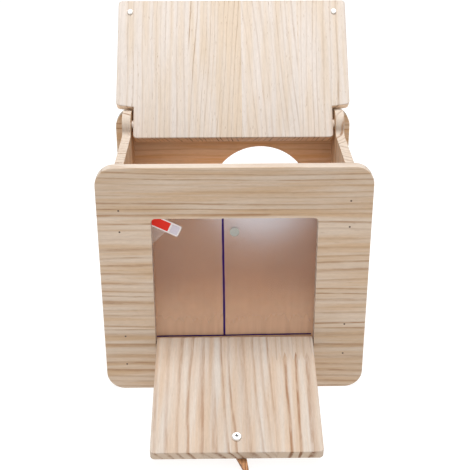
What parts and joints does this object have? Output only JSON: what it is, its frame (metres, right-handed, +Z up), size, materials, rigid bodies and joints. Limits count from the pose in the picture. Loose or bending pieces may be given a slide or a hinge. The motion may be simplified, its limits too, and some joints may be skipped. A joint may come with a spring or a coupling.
{
  "type": "parakeet nest box",
  "caption": "Wooden parakeet nest box with a notched hinged lid, a drop-down viewing door over a clear pane, and a round entrance hole in the back board.",
  "frame": {"origin": "middle of the base, on the underside of the floor and the walls", "axes": "+Z up, -Y out of the window, +Y out of the entrance hole, +X to the right as seen from the window"},
  "size_m": [0.2, 0.2618, 0.2731],
  "materials": {
    "pine": "bare sanded",
    "pale_pine": "bare sanded",
    "dowel_wood": "bare",
    "nail_steel": "bright drawn wire",
    "screw_steel": "zinc plated",
    "magnet": "nickel plated",
    "clear_acrylic": "clear, under protective film"
  },
  "bodies": {
    "box": {"front_panel": "pine", "back_panel": "pine", "left_side_panel": "pine", "right_side_panel": "pine", "floor_panel": "pine", "front_nails": "nail_steel", "back_nails": "nail_steel", "floor_nails": "nail_steel", "left_lid_dowel": "dowel_wood", "right_lid_dowel": "dowel_wood", "window_pane": "clear_acrylic", "pane_screws": "screw_steel", "catch_magnet": "magnet", "left_door_pin": "nail_steel", "right_door_pin": "nail_steel"},
    "lid": {"lid": "pale_pine", "lid_screws": "screw_steel"},
    "door": {"viewing_door": "pale_pine"},
    "pull": {"door_pull": "pale_pine", "pull_screw": "screw_steel"}
  },
  "joints": [
    {"name": "lid_hinge", "type": "hinge", "parent": "box", "child": "lid", "pos_m": [0, 0.0293, 0.1903], "axis": [1, 0, 0], "range_deg": [0, 131.5]},
    {"name": "door_hinge", "type": "hinge", "parent": "box", "child": "door", "pos_m": [0, -0.04825, 0.04025], "axis": [-1, 0, 0], "range_deg": [0, 106]},
    {"name": "pull_turn", "type": "hinge", "parent": "door", "child": "pull", "pos_m": [0, -0.13736, 0.0147], "axis": [0, -0.2756, 0.9613], "continuous": true}
  ]
}
